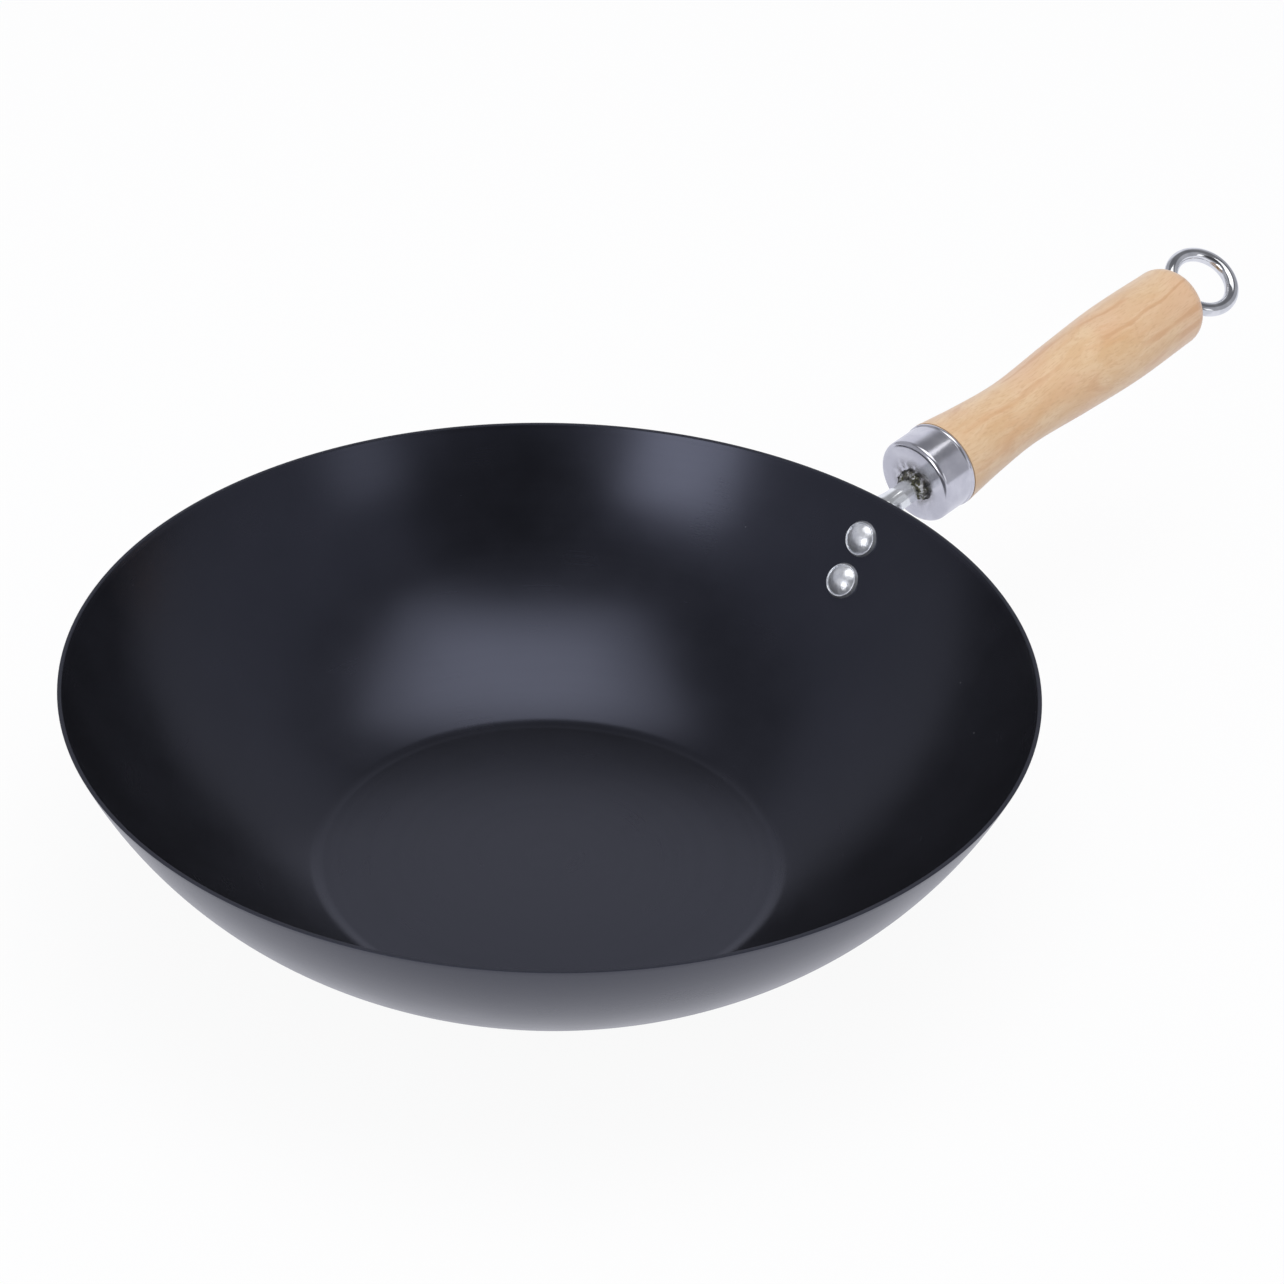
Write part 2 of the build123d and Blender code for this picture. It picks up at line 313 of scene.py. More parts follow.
coating = Finish("satin black coating", {"IOR": 1.6, "Specular Tint": tone(217, 223, 255)})
east, north, height = parts_of(coating, coating.place)
out = (east * east + north * north) ** 0.5
rings_place = coating.node("ShaderNodeCombineXYZ", {}, {0: out, 1: height})
spun = coating.noise(spin_mark, 2, rings_place)
clouds = coating.noise(coating_cloud, 4)
grain = coating.noise(coating_grain, 2)
colour = coating.blend(clouds.rise(0.3, 0.7), tone(14, 14, 16), tone(19, 19, 22))
dust_cells = {"Vector": coating.place, "Scale": 1 / dust_spacing}
from_dust = coating.node("ShaderNodeTexVoronoi", {}, dust_cells)
cell_colour = coating.node("ShaderNodeTexVoronoi", {}, dust_cells, output="Color")
chosen = coating.node("ShaderNodeSeparateXYZ", {}, {0: cell_colour})
dust = (1 - from_dust.rise(*dust_radius_shares)) * chosen.rise(0.62, 0.64)
colour = coating.blend(dust * 0.6, colour, tone(120, 120, 124))
edge = height.rise(wok_depth - edge_fade_start, wok_depth - edge_fade_end)
colour = coating.blend(edge * 0.1, colour, tone(74, 75, 80))
coating.set({
    "Base Color": colour,
    "Roughness": 0.19 + 0.08 * clouds + 0.05 * spun + 0.45 * edge,
    "Normal": coating.bump(0.6 * spun + 0.4 * grain, coating_relief),
})

bowl = turn_piece("bowl", rounded(outside + inside[::-1]), bowl_steps, coating.material)
fit(bowl, "wok", ["bowl"])

# Rivets: two aluminium rivets hold the handle's arm. Each has a domed head with a rolled edge inside
# the bowl, a shank through wall and arm, and a tail that is closed on the arm outside.
rivet_depth = 14 * MM
rivet_pitch = 15.5 * MM
rivet_shank = 6 * MM
rivet_head = 12.2 * MM
rivet_head_edge = 1.1 * MM
rivet_head_crown = 2 * MM
rivet_tail = 10 * MM
rivet_tail_edge = 0.7 * MM
rivet_tail_crown = 1.6 * MM
rivet_edge_rounding = 0.28 * MM
rivet_roll = 0.2 * MM
rivet_roll_inset = 0.5 * MM
rivet_roll_rise = 0.2 * MM
rivet_groove = 0.1 * MM
rivet_foot = 0.2 * MM
rivet_roll_end = 1.4 * pi
rivet_roll_steps = 9
rivet_steps = 72
tang_sheet = 1.8 * MM
rivet_wear = 3 * MM
rivet_dent = 2.6 * MM
rivet_grain = 0.3 * MM
rivet_relief = 0.24 * MM


def dome(radius, level, crown, steps=10):
    """A shallow dome's outline, from the middle of its top out to its edge."""
    bulge = (radius ** 2 + crown ** 2) / (2 * abs(crown))
    up = 1 if crown > 0 else -1
    half = atan2(radius, bulge - abs(crown))
    points = []
    for step in range(steps + 1):
        angle = half * step / steps
        points.append((bulge * sin(angle), level + crown - up * bulge * (1 - cos(angle)), 0))
    return points


head_top = sheet + rivet_head_edge
tail_low = -tang_sheet - rivet_tail_edge
roll_r = rivet_head / 2 - rivet_roll_inset - rivet_roll
roll_top = head_top + rivet_roll_rise
roll_middle = (roll_r, roll_top - rivet_roll)
rolled_edge = arc(roll_middle, rivet_roll, pi / 2, rivet_roll_end, rivet_roll_steps)
dome_start = roll_top - rivet_roll - rivet_groove
head_dome = dome(roll_r - rivet_roll, dome_start, head_top + rivet_head_crown - dome_start)
tail_dome = dome(rivet_tail / 2, tail_low, -rivet_tail_crown)
rivet_outline = rounded(
    tail_dome[:-1]
    + [
        (rivet_tail / 2, tail_low, rivet_edge_rounding),
        (rivet_tail / 2, -tang_sheet, 0),
        (rivet_shank / 2, -tang_sheet, 0),
        (rivet_shank / 2, sheet, 0),
        (rivet_head / 2, sheet, 0),
        (rivet_head / 2, sheet + rivet_foot, 0),
    ]
    + rolled_edge
    + head_dome[::-1]
)


def rivet_tree():
    """Turns the rivet's outline and sets one rivet on each place, leaning with the wall."""
    inputs = {"Steps": "Int", "Outline": "Object", "Material": "Material"}
    nodes, given = shape_tree("rivets on the wall", inputs)
    settings = {"transform_space": "ORIGINAL"}
    outline = nodes.node("GeometryNodeObjectInfo", settings, {0: given["Outline"]}, output="Geometry")
    sockets = {"Geometry": outline, "Steps": given["Steps"], "Material": given["Material"]}
    rivet = nodes.node("GeometryNodeGroup", {"node_tree": turned}, sockets)
    slope = nodes.node("GeometryNodeInputNamedAttribute", {"data_type": "FLOAT"}, {"Name": "slope"})
    lean = nodes.node("ShaderNodeCombineXYZ", {}, {1: 0 - slope})
    lean = nodes.node("FunctionNodeEulerToRotation", {}, {0: lean})
    sockets = {"Points": given["Geometry"], "Instance": rivet, "Rotation": lean}
    return end_tree(nodes, nodes.node("GeometryNodeInstanceOnPoints", {}, sockets), given["Material"])


aluminium = Finish("satin aluminium", {"Metallic": 0.8})
worn = aluminium.noise(rivet_wear, 4)
struck = aluminium.noise(rivet_dent, 3)
fine = aluminium.noise(rivet_grain, 3)
aluminium.set({
    "Base Color": aluminium.blend(worn.rise(0.35, 0.65), tone(226, 229, 235), tone(247, 249, 252)),
    "Roughness": 0.23 + 0.14 * fine,
    "Normal": aluminium.bump(0.85 * struck + 0.15 * fine, rivet_relief),
})

upper_slope = slope_at(wok_depth - rivet_depth)
rivet_slopes = [upper_slope, upper_slope - rivet_pitch / wall_radius]
places = cloud("rivets", [on_wall(slope) for slope in rivet_slopes])
places.attributes.new("slope", "FLOAT", "POINT").data.foreach_set("value", rivet_slopes)
outline_points = [(point.x, 0, point.y) for point in rivet_outline]
rivet_line = bpy.data.objects.new("rivet_outline", cloud("rivet_outline", outline_points))
rivets = grown(rivet_tree(), "rivets", places, {
    "Steps": rivet_steps,
    "Outline": rivet_line,
    "Material": aluminium.material,
})
bpy.data.objects.remove(rivet_line)
fit(rivets, "wok", ["upper_rivet", "lower_rivet"])

# Tang: the handle's arm, pressed from 1.8 mm steel sheet and bright plated. A pad lies on the wall
# under the rivets, narrows, bends away below the rim and curls into an arched neck, open below.
rim_to_ferrule = 17.5 * MM
ferrule_drop = 1.6 * MM
handle_rise = radians(8.3)
pad_width = 24 * MM
pad_margin = 10 * MM
pad_corner = 8 * MM
shoulder_width = 16 * MM
neck_width = 8.4 * MM
neck_depth = 5.6 * MM
neck_drop = 1.9 * MM
flare_on_wall = 4 * MM
flare_on_neck = 5 * MM
bend_inside = 0.9 * MM
pressed_edge = 0.35 * MM
pressed_edge_steps = 3
pressed_edge_angle = radians(50)
rows_each = 26
columns = 40
plating_wave = 4 * MM
plating_pit = 0.6 * MM
plating_relief = 0.02 * MM

up_line = Vector((-sin(handle_rise), 0, cos(handle_rise)))
out_line = Vector((cos(handle_rise), 0, sin(handle_rise)))
face_middle = Vector((rim_radius + rim_to_ferrule, 0, wok_depth - ferrule_drop))
handle = Matrix.Translation(face_middle) @ Matrix((up_line, (0, -1, 0), out_line)).transposed().to_4x4()

neck_crown = neck_width / 2
neck_top = neck_crown - neck_drop
bend_radius = neck_depth + bend_inside
bend_reach = face_middle + (neck_top - bend_radius) * up_line - Vector((wall_centre[0], 0, wall_centre[1]))
ahead = bend_reach.dot(out_line)
below = -bend_reach.dot(up_line)
straight = ahead - sqrt((wall_radius + bend_radius) ** 2 - below ** 2)
bend_centre = face_middle + (neck_top - bend_radius) * up_line - straight * out_line
leave = atan2(bend_centre.x - wall_centre[0], wall_centre[1] - bend_centre.z)
bend_length = bend_radius * (leave - handle_rise)
flare_length = flare_on_wall + bend_length + flare_on_neck
pad_length = (leave * wall_radius - flare_on_wall) - (rivet_slopes[1] * wall_radius - pad_margin)


def crown_line(distance):
    """A point on the middle of the arm's upper side and its slope, measured from the shoulder."""
    past_wall = distance - flare_on_wall
    if past_wall < 0:
        slope = leave + past_wall / wall_radius
        return on_wall(slope), slope
    slope = max(leave - past_wall / bend_radius, handle_rise)
    point = bend_centre + bend_radius * Vector((-sin(slope), 0, cos(slope)))
    return point + max(past_wall - bend_length, 0) * out_line, slope


def pad_half(distance):
    """Half the pad's width, this far above its rounded lower end."""
    if distance < pad_corner:
        return pad_width / 2 - pad_corner + sqrt(pad_corner ** 2 - (pad_corner - distance) ** 2)
    narrowing = max(distance - pad_margin, 0) / (pad_length - pad_margin)
    return pad_width / 2 + narrowing * (shoulder_width - pad_width) / 2


def across(reach, arch, curl):
    """How far out and down a point of the curled sheet lies, this far from its middle line."""
    curved = min(reach, arch)
    if curl == 0:
        return reach, 0
    radius = arch / curl
    angle = curved / radius
    rest = reach - curved
    return radius * sin(angle) + rest * cos(angle), radius * (1 - cos(angle)) + rest * sin(angle)


def arm_rows():
    """How far from the shoulder the rows of the mesh lie, closer together in the rounded end."""
    quarter = [pad_corner * (1 - cos(pi / 2 * step / rows_each)) for step in range(rows_each)]
    pad = [pad_corner + (pad_length - pad_corner) * step / rows_each for step in range(rows_each)]
    neck_end = flare_on_wall + bend_length + straight
    neck = [neck_end * step / (2 * rows_each) for step in range(2 * rows_each + 1)]
    return [distance - pad_length for distance in quarter + pad] + neck


def arm_point(distance, side):
    """A point of the arm's upper side, at a share from -1 to 1 of its width."""
    middle, slope = crown_line(distance)
    way = min(max(distance / flare_length, 0), 1)
    share = way * way * (3 - 2 * way)
    flat = pad_half(distance + pad_length) if distance < 0 else shoulder_width / 2
    arch = flat + share * (neck_crown * pi / 2 - flat)
    leg = share * (neck_depth - neck_crown)
    wide, deep = across(abs(side) * (arch + leg), arch, share * pi / 2)
    around = middle.x - sqrt(middle.x ** 2 - wide ** 2)
    point = middle - deep * Vector((-sin(slope), 0, cos(slope)))
    point.x -= around * (1 - share)
    point.y = wide if side > 0 else -wide
    return point


sides = [2 * step / columns - 1 for step in range(columns + 1)]
arm = bmesh.new()
grid = [[arm.verts.new(arm_point(row, side)) for side in sides] for row in arm_rows()]
for near, far in zip(grid, grid[1:]):
    for step in range(columns):
        arm.faces.new((near[step], near[step + 1], far[step + 1], far[step]))
for face in arm.faces:
    face.smooth = True
bmesh.ops.recalc_face_normals(arm, faces=arm.faces)
tang_mesh = bpy.data.meshes.new("tang_bracket")
arm.to_mesh(tang_mesh)
arm.free()
tang = bpy.data.objects.new("tang_bracket", tang_mesh)
bpy.context.scene.collection.objects.link(tang)

plating = Finish("bright plated steel", {"Metallic": 0.75})
handled = plating.noise(plating_wave, 4)
pits = plating.noise(plating_pit, 3)
plating.set({
    "Base Color": plating.blend(handled.rise(0.3, 0.7), tone(228, 231, 232), tone(244, 246, 247)),
    "Roughness": 0.07 + 0.07 * handled,
    "Normal": plating.bump(0.7 * handled + 0.3 * pits, plating_relief),
})
tang_mesh.materials.append(plating.material)
thick = tang.modifiers.new("sheet", "SOLIDIFY")
thick.thickness = tang_sheet
thick.offset = -1
thick.use_even_offset = True
edges = tang.modifiers.new("pressed edges", "BEVEL")
edges.width = pressed_edge
edges.segments = pressed_edge_steps
edges.limit_method = "ANGLE"
edges.angle_limit = pressed_edge_angle
edges.harden_normals = True
fit(tang, "wok", ["tang_bracket"])

# Weld: one rippled bead of burnt weld metal, laid up one side of the neck, over its crown and down
# the other side, where the neck stands on the ferrule's face.
bead_radius = 2.1 * MM
bead_back = 0.5 * MM
bead_ripple = 1.3 * MM
bead_growth = 50 * MM
bead_least = 0.28
bead_ripple_share = 0.1
bead_points = 150
bead_sides = 20
weld_arch_steps = 24
lump_size = 2.4 * MM
knob_size = 1.1 * MM
knob_height = 2.2 * MM
soot_patch = 1.5 * MM
tint_patch = 3.2 * MM
crust_grain = 0.4 * MM
crust_relief = 0.12 * MM


def round_section(nodes, given):
    """The circle that a bead or a wire is swept with."""
    sockets = {"Resolution": given["Sides"], "Radius": given["Radius"]}
    return nodes.node("GeometryNodeCurvePrimitiveCircle", {}, sockets)


def bead_tree():
    """Sweeps a round bead along a line, rippled along its way and lumpy all over."""
    inputs = {"Radius": "Float", "Ripple": "Float", "Points": "Int", "Sides": "Int", "Material": "Material"}
    nodes, given = shape_tree("weld bead", inputs)
    line = nodes.node("GeometryNodeMeshToCurve", {}, {0: given["Geometry"]})
    line = nodes.node("GeometryNodeResampleCurve", {}, {"Curve": line, "Count": given["Points"]})
    along = nodes.node("GeometryNodeSplineParameter", output="Length")
    ring = along.maths("ABSOLUTE", along.maths("SINE", along / given["Ripple"] * pi))
    place = nodes.node("GeometryNodeInputPosition")
    lumps = nodes.node("ShaderNodeTexNoise", {}, {"Vector": place, "Scale": 1 / lump_size, "Detail": 2.0})
    swell = bead_least + bead_ripple_share * ring + lumps + along / bead_growth
    section = round_section(nodes, given)
    sockets = {"Curve": line, "Profile Curve": section, "Scale": swell, "Fill Caps": True}
    bead = nodes.node("GeometryNodeCurveToMesh", {}, sockets)
    knobs = nodes.node("ShaderNodeTexNoise", {}, {"Vector": place, "Scale": 1 / knob_size, "Detail": 3.0})
    sockets = {0: nodes.node("GeometryNodeInputNormal"), "Scale": (knobs - 0.5) * knob_height}
    push = nodes.node("ShaderNodeVectorMath", {"operation": "SCALE"}, sockets)
    bead = nodes.node("GeometryNodeSetPosition", {}, {"Geometry": bead, "Offset": push})
    return end_tree(nodes, bead, given["Material"])


weld_metal = Finish("burnt weld metal", {})
soot = weld_metal.noise(soot_patch, 4)
tint = weld_metal.noise(tint_patch, 2)
crust = weld_metal.noise(crust_grain, 4)
burnt = weld_metal.blend(tint.rise(0.46, 0.62), tone(112, 110, 108), tone(88, 88, 66))
burnt = weld_metal.blend(soot.rise(0.54, 0.62), burnt, tone(200, 200, 202))
burnt = weld_metal.blend(soot.rise(0.47, 0.4), burnt, tone(28, 28, 25))
weld_metal.set({
    "Base Color": burnt,
    "Metallic": soot.rise(0.38, 0.5),
    "Roughness": 0.28 + 0.35 * crust,
    "Normal": weld_metal.bump(crust, crust_relief),
})

weld_side = neck_depth - neck_crown
weld_line = [(-weld_side, -neck_crown)]
for step in range(weld_arch_steps + 1):
    angle = pi * step / weld_arch_steps
    weld_line.append((neck_crown * sin(angle), -neck_crown * cos(angle)))
weld_line.append((-weld_side, neck_crown))
weld_points = [handle @ Vector((up - neck_drop, side, -bead_back)) for up, side in weld_line]
weld_mesh = cloud("tang_weld", weld_points, [(step, step + 1) for step in range(len(weld_points) - 1)])
weld = grown(bead_tree(), "tang_weld", weld_mesh, {
    "Radius": bead_radius,
    "Ripple": bead_ripple,
    "Points": bead_points,
    "Sides": bead_sides,
    "Material": weld_metal.material,
}, crease=pi)
fit(weld, "wok", ["tang_weld"])

# Ferrule: a cup drawn from thin steel sheet and chrome plated. Its closed face carries the neck's
# weld, its corner is rounded, and a rolled lip covers the step to the wooden grip.
ferrule_diameter = 30.1 * MM
ferrule_length = 13.8 * MM
ferrule_wall = 0.9 * MM
ferrule_corner = 1.7 * MM
lip_swell = 0.4 * MM
lip_length = 1.8 * MM
lip_steps = 8
face_ring_shares = (0.4, 0.7)
corner_steps = 12
ferrule_steps = 128
smear_size = 7 * MM
scuff_size = 0.5 * MM
smoke_size = 2.2 * MM
burn_inner = 4 * MM
burn_outer = 11 * MM
cup_relief = 0.05 * MM

ferrule_r = ferrule_diameter / 2
inside_r = ferrule_r - ferrule_wall
lip_r = ferrule_r + lip_swell
lip_start = ferrule_length - lip_length
lip_bulge = (lip_length ** 2 / 4 + lip_swell ** 2) / (2 * lip_swell)
lip_half = atan2(lip_length / 2, lip_bulge - lip_swell)
lip = []
for step in range(lip_steps + 1):
    angle = lip_half * (2 * step / lip_steps - 1)
    lip.append((lip_r - lip_bulge * (1 - cos(angle)), lip_start + lip_length / 2 + lip_bulge * sin(angle), 0))
ferrule_outline = rounded(
    [(0, 0, 0)]
    + [(ferrule_r * share, 0, 0) for share in face_ring_shares]
    + [(ferrule_r, 0, ferrule_corner)]
    + lip
    + [
        (inside_r, ferrule_length, 0),
        (inside_r, ferrule_wall, ferrule_corner - ferrule_wall),
        (0, ferrule_wall, 0),
    ],
    steps=corner_steps,
)

cup_chrome = Finish("satin chrome with burn marks", {"Metallic": 0.88})
smear = cup_chrome.noise(smear_size, 3)
scuffs = cup_chrome.noise(scuff_size, 4)
smoke = cup_chrome.noise(smoke_size, 4)
sockets = {0: cup_chrome.place, 1: face_middle}
from_weld = cup_chrome.node("ShaderNodeVectorMath", {"operation": "DISTANCE"}, sockets, output="Value")
burn = (1 - from_weld.rise(burn_inner, burn_outer)) * smoke.rise(0.34, 0.58)
clean = cup_chrome.blend(smear.rise(0.35, 0.7), tone(196, 196, 204), tone(209, 209, 216))
cup_chrome.set({
    "Base Color": cup_chrome.blend(burn * 0.85, clean, tone(104, 101, 98)),
    "Roughness": 0.11 + 0.1 * scuffs + 0.2 * burn,
    "Normal": cup_chrome.bump(0.8 * smear + 0.2 * scuffs, cup_relief),
})
ferrule = turn_piece("ferrule", ferrule_outline, ferrule_steps, cup_chrome.material, handle)
fit(ferrule, "wok", ["ferrule"])

# Ferrule nut: a zinc plated steel nut, welded behind the ferrule's face. The ring bolt screws into it
# and clamps the grip. Its faces keep fine machining marks and dull zinc blooms.
bloom_size = 2 * MM
cut_size = 0.25 * MM
cut_stretch = (1, 1, 0.15)
cut_relief = 0.03 * MM

zinc = Finish("zinc plating", {"Metallic": 1.0})
bloom = zinc.noise(bloom_size, 4)
cuts = zinc.noise(cut_size, 2, zinc.moved(scale=cut_stretch))
zinc.set({
    "Base Color": zinc.blend(bloom.rise(0.35, 0.65), tone(150, 152, 155), tone(188, 189, 186)),
    "Roughness": 0.3 + 0.2 * bloom,
    "Normal": zinc.bump(cuts, cut_relief),
})
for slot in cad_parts["ferrule_nut"].material_slots:
    slot.material = zinc.material

# Grip: turned from one billet of pale wood, with a waist behind the ferrule and a belly near the end,
# sanded and finished with a thin clear coat. The grain runs along it in soft, slightly wavy bands.
grip_length = 127.8 * MM
grip_waist_radius = 12.4 * MM
grip_belly_radius = 15.2 * MM
grip_end_radius = 14.7 * MM
grip_end_rounding = 7 * MM
waist_share = 0.30
belly_share = 0.72
halfway_to_waist_share = 0.66
halfway_to_belly_share = 0.56
tenon_slip = 0.1 * MM
tenon_start = 5.5 * MM
bolt_hole = 2.85 * MM
countersink = 1.5 * MM
grip_end_steps = 16
grip_steps = 128
pith_lean = (radians(5), radians(-3), 0)
pith_place = (6 * MM, 22 * MM, 0)
sway_per_metre = 14.0
sway_push = 16 * MM
grain_stretch = (1, 1, 0.16)
fleck_stretch = (1, 1, 0.3)
streak_size = 6 * MM
fibre_size = 0.55 * MM
ring_spacing = 9 * MM
fleck_size = 5 * MM
blush_size = 34 * MM
wood_relief = 0.05 * MM

grip_end = ferrule_length + grip_length
tenon_r = inside_r - tenon_slip
halfway_in = lip_r + halfway_to_waist_share * (grip_waist_radius - lip_r)
halfway_out = grip_waist_radius + halfway_to_belly_share * (grip_belly_radius - grip_waist_radius)
knots = [
    (lip_r, ferrule_length),
    (halfway_in, ferrule_length + waist_share / 2 * grip_length),
    (grip_waist_radius, ferrule_length + waist_share * grip_length),
    (halfway_out, ferrule_length + (waist_share + belly_share) / 2 * grip_length),
    (grip_belly_radius, ferrule_length + belly_share * grip_length),
    (grip_end_radius, grip_end - grip_end_rounding),
]


def flowing(knots, steps=14):
    """Points on one smooth line through the knots, given as (out, along)."""
    leans = []
    for index in range(len(knots)):
        before = knots[max(index - 1, 0)]
        after = knots[min(index + 1, len(knots) - 1)]
        leans.append((after[0] - before[0]) / (after[1] - before[1]))
    points = []
    for (first, low), (last, high), lean, next_lean in zip(knots, knots[1:], leans, leans[1:]):
        span = high - low
        for step in range(steps):
            t = step / steps
            radius = first * (1 + 2 * t) * (1 - t) ** 2 + last * t * t * (3 - 2 * t)
            radius += span * (lean * t * (1 - t) ** 2 - next_lean * t * t * (1 - t))
            points.append((radius, low + t * span, 0))
    return points + [(*knots[-1], 0)]


grip_outline = rounded(
    flowing(knots)
    + [
        (grip_end_radius, grip_end, grip_end_rounding),
        (bolt_hole + countersink, grip_end, 0),
        (bolt_hole, grip_end - countersink, 0),
        (bolt_hole, tenon_start, 0),
        (tenon_r, tenon_start, 0),
        (tenon_r, ferrule_length, 0),
        (lip_r, ferrule_length, 0),
    ],
    steps=grip_end_steps,
)

wood = Finish("pale turned wood", {"Coat Roughness": 0.3, "Sheen Weight": 0.2, "Sheen Roughness": 0.45})
along = wood.moved(face_middle, (0, pi / 2 - handle_rise, 0))
sockets = {"Vector": along, "Scale": sway_per_metre, "Detail": 2.0}
sway = wood.node("ShaderNodeTexNoise", {}, sockets, output="Color")
drift = wood.node("ShaderNodeVectorMath", {"operation": "SUBTRACT"}, {0: sway, 1: (0.5, 0.5, 0.5)})
drift = wood.node("ShaderNodeVectorMath", {"operation": "SCALE"}, {0: drift, "Scale": sway_push})
bent = wood.node("ShaderNodeVectorMath", {"operation": "ADD"}, {0: along, 1: drift})
sockets = {0: bent, 1: pith_place, 2: pith_lean, 3: grain_stretch}
stretched = wood.node("ShaderNodeMapping", {}, sockets)
streaks = wood.noise(streak_size, 5, stretched)
fibres = wood.noise(fibre_size, 3, stretched)
wide, deep, _ = parts_of(wood, stretched)
from_pith = (wide * wide + deep * deep) ** 0.5
ring_wave = from_pith.maths("SINE", (from_pith / ring_spacing + 0.6 * streaks) * (2 * pi))
fleck_place = wood.node("ShaderNodeMapping", {}, {0: bent, 2: pith_lean, 3: fleck_stretch})
flecks = wood.noise(fleck_size, 5, fleck_place, 0.6)
blush = wood.noise(blush_size, 2)
late_wood = ring_wave.rise(0.8, 1.0) * blush.rise(0.4, 0.53)
grain_colour = wood.blend(flecks.rise(0.35, 0.65), tone(227, 195, 154), tone(218, 180, 134))
grain_colour = wood.blend(blush.rise(0.42, 0.62) * 0.7, grain_colour, tone(223, 183, 146))
grain_colour = wood.blend(streaks.rise(0.5, 0.75) * 0.5, grain_colour, tone(214, 162, 110))
grain_colour = wood.blend(late_wood * 0.55, grain_colour, tone(203, 151, 102))
grain_colour = wood.blend(fibres.rise(0.5, 0.68) * 0.42, grain_colour, tone(203, 160, 117))
wood.set({
    "Base Color": grain_colour,
    "Roughness": 0.42 + 0.14 * fibres,
    "Coat Weight": 0.4,
    "Normal": wood.bump(0.7 * fibres + 0.3 * streaks, wood_relief),
})
grip = turn_piece("grip", grip_outline, grip_steps, wood.material, handle)
fit(grip, "wok", ["grip"])

# Ring bolt: one 5 mm round wire, chrome plated. It runs straight through the grip and is bent aside
# and round into an eye for hanging, whose cut end stops just short of the bolt.
wire = 5 * MM
eye_radius = 11.8 * MM
eye_reach = 13.9 * MM
eye_offset = 0.5 * MM
eye_bend = 4 * MM
eye_gap = 0.4 * MM
eye_turn = radians(30)
bolt_start = 1.5 * MM
cut_chamfer = 0.6 * MM
chamfer_slope_share = 0.7
wire_sides = 40
bend_step = radians(4)
haze_size = 5 * MM
chrome_relief = 0.02 * MM

eye_middle = (-eye_offset, grip_end + eye_reach)
bend_to_eye = eye_bend + eye_radius
bolt_bend_start = eye_middle[1] - sqrt(bend_to_eye ** 2 - (eye_bend + eye_offset) ** 2)
wire_bend = (eye_bend, bolt_bend_start)
heading = atan2(eye_middle[1] - wire_bend[1], eye_middle[0] - wire_bend[0])
end_reach = eye_bend + wire + eye_gap
open_angle = acos((bend_to_eye ** 2 + eye_radius ** 2 - end_reach ** 2) / (2 * bend_to_eye * eye_radius))


def bend(centre, radius, start, sweep):
    """Points along a bend of the wire as (sideways, along), by angles from sideways."""
    steps = ceil(abs(sweep) / bend_step)
    angles = [start + sweep * step / steps for step in range(steps + 1)]
    return [(centre[0] + radius * cos(angle), centre[1] + radius * sin(angle)) for angle in angles]


wire_line = [(0, bolt_start)]
wire_line += bend(wire_bend, eye_bend, pi, heading - pi)
wire_line += bend(eye_middle, eye_radius, heading - pi, 2 * pi - open_angle)[1:]


def wire_tree():
    """A round wire along a line of points, narrowed at its ends by the points' own scale."""
    nodes, given = shape_tree("bent wire", {"Radius": "Float", "Sides": "Int", "Material": "Material"})
    line = nodes.node("GeometryNodeMeshToCurve", {}, {0: given["Geometry"]})
    section = round_section(nodes, given)
    taper = nodes.node("GeometryNodeInputNamedAttribute", {"data_type": "FLOAT"}, {"Name": "taper"})
    sockets = {"Curve": line, "Profile Curve": section, "Scale": taper, "Fill Caps": True}
    return end_tree(nodes, nodes.node("GeometryNodeCurveToMesh", {}, sockets), given["Material"])


chrome = Finish("bright chrome", {"Metallic": 1.0})
haze = chrome.noise(haze_size, 3)
chrome.set({
    "Base Color": chrome.blend(haze.rise(0.35, 0.65), tone(204, 206, 209), tone(226, 227, 229)),
    "Roughness": 0.04 + 0.06 * haze,
    "Normal": chrome.bump(haze, chrome_relief),
})

last = Vector(wire_line[-1])
back = (Vector(wire_line[-2]) - last).normalized()
wire_line.insert(-1, tuple(last + back * cut_chamfer * chamfer_slope_share))
wire_points = [Vector((0, side, reach)) for side, reach in wire_line]
wire_mesh = cloud("ring_bolt", wire_points, [(step, step + 1) for step in range(len(wire_points) - 1)])
tapers = [1.0] * (len(wire_points) - 1) + [1 - 2 * cut_chamfer / wire]
wire_mesh.attributes.new("taper", "FLOAT", "POINT").data.foreach_set("value", tapers)
turned_eye = handle @ Matrix.Rotation(eye_turn, 4, "Z")
bolt = grown(wire_tree(), "ring_bolt", wire_mesh, {
    "Radius": wire / 2,
    "Sides": wire_sides,
    "Material": chrome.material,
}, turned_eye)
fit(bolt, "hanging_bolt", ["ring_bolt"])

# Camera: it stands where the photographer stood, looks down on the wok's rim, and is rolled a little.
camera_place = Vector((-606.87, -629.06, 656.10)) * MM
camera_aim = Vector((29.34 * MM, -9.61 * MM, wok_depth))
camera_roll = radians(1.951)
camera_lens = 96.04
film_width = 36.0

camera_data = bpy.data.cameras.new("camera")
camera_data.lens = camera_lens
camera_data.sensor_width = film_width
camera = bpy.data.objects.new("camera", camera_data)
bpy.context.scene.collection.objects.link(camera)
camera.location = camera_place
camera.rotation_mode = "QUATERNION"
level = (camera_aim - camera_place).to_track_quat("-Z", "Y")
camera.rotation_quaternion = level @ Quaternion((0, 0, 1), camera_roll)
bpy.context.scene.camera = camera
bpy.context.scene.view_settings.view_transform = "Standard"

# Floor: white, and it runs on into the white background. Camera, mirror and glass rays see it as plain
# white, apart from a share that is lit like any floor and so keeps the wok's shadow.
floor_half = 20.0
floor_drop = 0.3 * MM
lit_share = 0.07
mirrored_white = tone(245, 246, 255)
seen_white = (1, 1, 1, 1)

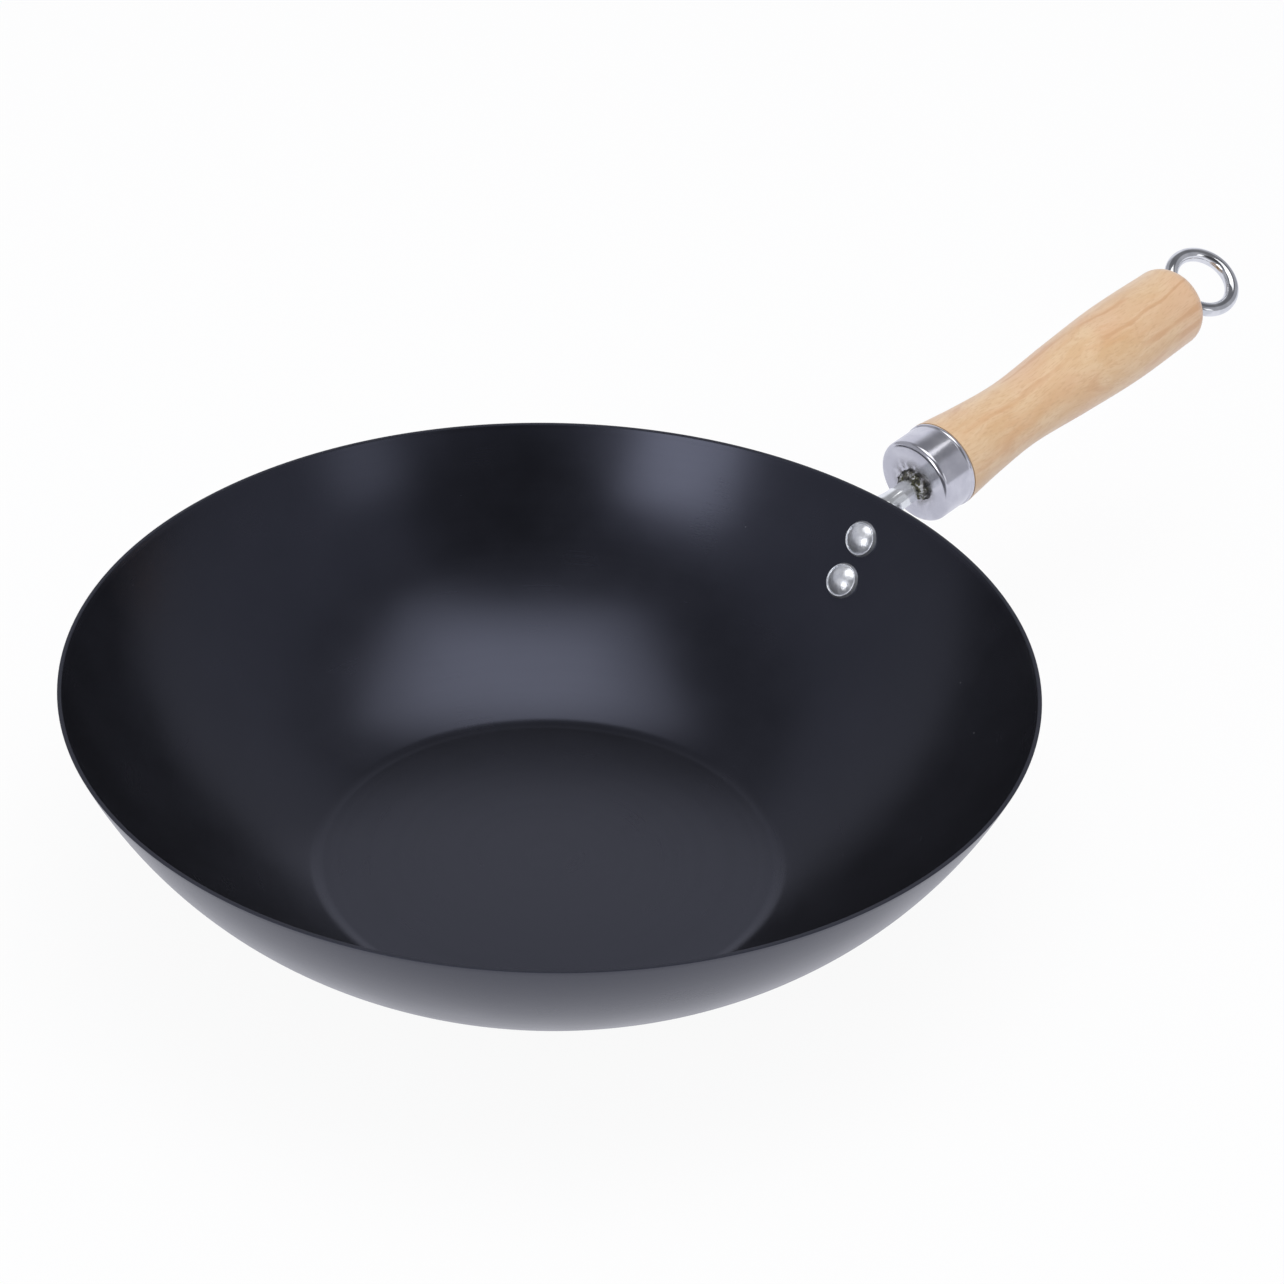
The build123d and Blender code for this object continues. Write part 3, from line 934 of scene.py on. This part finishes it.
corners = [(-1, -1), (1, -1), (1, 1), (-1, 1)]
floor_points = [(x * floor_half, y * floor_half, -floor_drop) for x, y in corners]
floor_mesh = bpy.data.meshes.new("floor")
floor_mesh.from_pydata(floor_points, [], [(0, 1, 2, 3)])
floor = bpy.data.objects.new("floor", floor_mesh)
bpy.context.scene.collection.objects.link(floor)

white = Finish("white floor", {
    "Base Color": (0.86, 0.86, 0.87, 1),
    "Roughness": 0.9,
    "Specular IOR Level": 0.0,
})
floor_mesh.materials.append(white.material)


def seen_directly(nodes):
    """Two masks: for the rays of camera, mirrors and glass together, and for the camera's alone."""
    kinds = ("Camera", "Glossy", "Transmission")
    camera_ray, mirror_ray, glass_ray = [
        nodes.node("ShaderNodeLightPath", output="Is %s Ray" % kind) for kind in kinds
    ]
    reflected = nodes.node("ShaderNodeMath", {"operation": "MAXIMUM"}, {0: mirror_ray, 1: glass_ray})
    return nodes.node("ShaderNodeMath", {"operation": "MAXIMUM"}, {0: camera_ray, 1: reflected}), camera_ray


seen, to_camera = seen_directly(white)
glow_colour = white.blend(to_camera, mirrored_white, seen_white)
glow = white.node("ShaderNodeEmission", {}, {"Color": glow_colour, "Strength": 1.0})
lit = Value(white, white.shader.outputs[0])
surface = white.node("ShaderNodeMixShader", {}, {0: seen * (1 - lit_share), 1: lit, 2: glow})
white.feed(white.tree.nodes["Material Output"].inputs["Surface"], surface)

# Room: white to the camera. Mirrors see a white sweep behind the wok, pale walls under a dim ceiling,
# and a dark gap where the camera stands. Matt surfaces get an even fill.
fill_level = 0.66
wall_level = 0.5
ceiling_level = 0.21
dark_level = 0.08
wall_top = radians(40)
wall_fade = radians(52)
sweep_lean = radians(14)
sweep_inner = radians(18)
sweep_outer = radians(35)
gap_around = radians(14)
gap_up = radians(34)
gap_inner = radians(12)
gap_outer = radians(30)

towards_camera = camera_place - camera_aim
towards_camera.z = 0
towards_camera.normalize()
picture_right = Vector((0, 0, 1)).cross(towards_camera)


def from_wok(around, up):
    """A direction from the wok: around from the camera's side towards the picture's right, and up."""
    level = cos(around) * towards_camera + sin(around) * picture_right
    return cos(up) * level + sin(up) * Vector((0, 0, 1))


world = bpy.data.worlds.new("studio")
bpy.context.scene.world = world
world.use_nodes = True
room = Nodes(world.node_tree)
direction = room.node("ShaderNodeTexCoord", output="Generated")


def spot(around, up, inner, outer):
    """A round patch of the room: 1 inside its inner angle, and 0 beyond its outer angle."""
    sockets = {0: direction, 1: from_wok(around, up)}
    nearness = room.node("ShaderNodeVectorMath", {"operation": "DOT_PRODUCT"}, sockets, output="Value")
    return nearness.rise(cos(outer), cos(inner))


lift = room.node("ShaderNodeSeparateXYZ", {}, {0: direction}, output="Z")
walls = wall_level + (ceiling_level - wall_level) * lift.rise(sin(wall_top), sin(wall_fade))
walls = walls + (dark_level - walls) * spot(gap_around, gap_up, gap_inner, gap_outer)
mirrored = walls.maths("MAXIMUM", walls, spot(pi, sweep_lean, sweep_inner, sweep_outer))
seen, camera_only = seen_directly(room)
strength = camera_only + (1 - camera_only) * (seen * mirrored + (1 - seen) * fill_level)
sockets = {0: camera_only, 6: mirrored_white, 7: seen_white}
room_white = room.node("ShaderNodeMix", {"data_type": "RGBA"}, sockets, output=2)
background = world.node_tree.nodes["Background"]
room.feed(background.inputs["Color"], room_white)
room.feed(background.inputs["Strength"], strength)

# Lamps: a large soft box overhead with a brighter core, a tall one at the camera's left and a weak
# one at its right, given as around, up, distance, width, height and radiance.
lamps = {
    "overhead": (radians(95), radians(84), 1.5, 1.12, 1.38, 1.5),
    "overhead_core": (radians(95), radians(84), 1.45, 0.66, 0.84, 1.05),
    "camera_left": (radians(-31), radians(17), 2.0, 0.85, 1.4, 3.2),
    "camera_right": (radians(50), radians(17), 2.2, 0.6, 0.8, 1.0),
}
for name, (around, up, distance, width, height, radiance) in lamps.items():
    lamp_data = bpy.data.lights.new(name, "AREA")
    lamp_data.shape = "RECTANGLE"
    lamp_data.size = width
    lamp_data.size_y = height
    lamp_data.energy = radiance * pi * width * height
    lamp = bpy.data.objects.new(name, lamp_data)
    bpy.context.scene.collection.objects.link(lamp)
    lamp.location = distance * from_wok(around, up) + Vector((0, 0, wok_depth))
    lamp.rotation_mode = "QUATERNION"
    lamp.rotation_quaternion = (Vector((0, 0, wok_depth)) - lamp.location).to_track_quat("-Z", "Y")
